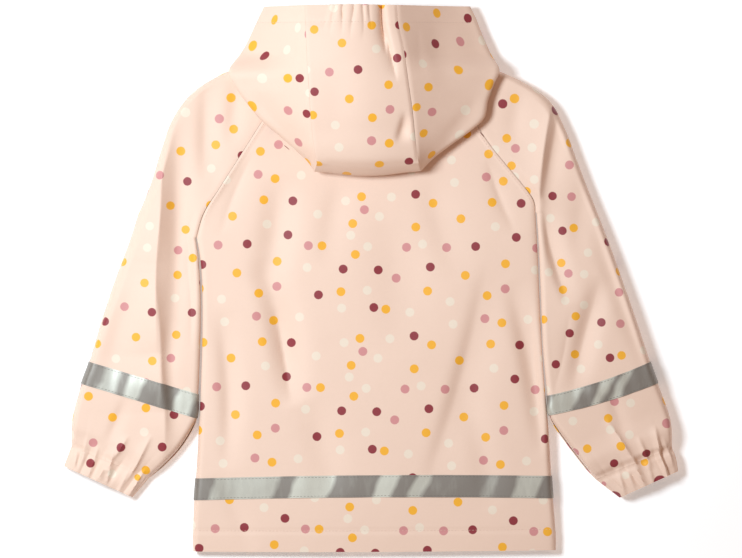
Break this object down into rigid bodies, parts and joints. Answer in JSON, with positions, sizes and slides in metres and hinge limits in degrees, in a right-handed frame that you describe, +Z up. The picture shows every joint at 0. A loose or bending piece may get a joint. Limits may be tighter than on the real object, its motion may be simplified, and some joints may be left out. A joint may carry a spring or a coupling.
{
  "type": "toddler raincoat",
  "caption": "Hooded toddler raincoat laid on its front, with raglan sleeves, gathered cuffs and hood edge, a lapped snap front and reflective tape round hem and sleeves.",
  "frame": {"origin": "on the surface the coat lies on, under the middle of its laid outline", "axes": "+X to the wearer's right and to the right of the laid coat, +Y towards the hood, +Z up out of the surface"},
  "size_m": [0.6152, 0.545, 0.0817],
  "materials": {
    "cloth": "matte coated polyester with printed dots",
    "tape": "satin silver-grey reflective tape",
    "snap": "smooth moulded cap"
  },
  "bodies": {
    "root": {"back": "cloth", "tape_back": "tape", "front_left": "cloth", "tape_front_left": "tape", "front_right": "cloth", "tape_front_right": "tape", "sleeve_left_back": "cloth", "tape_sleeve_left_back": "tape", "sleeve_left_front": "cloth", "tape_sleeve_left_front": "tape", "cuff_left": "cloth", "sleeve_right_back": "cloth", "tape_sleeve_right_back": "tape", "sleeve_right_front": "cloth", "tape_sleeve_right_front": "tape", "cuff_right": "cloth", "hood_left": "cloth", "hood_right": "cloth", "hood_centre": "cloth", "snap_1": "snap", "snap_2": "snap", "snap_3": "snap", "snap_4": "snap", "snap_5": "snap"}
  },
  "joints": []
}
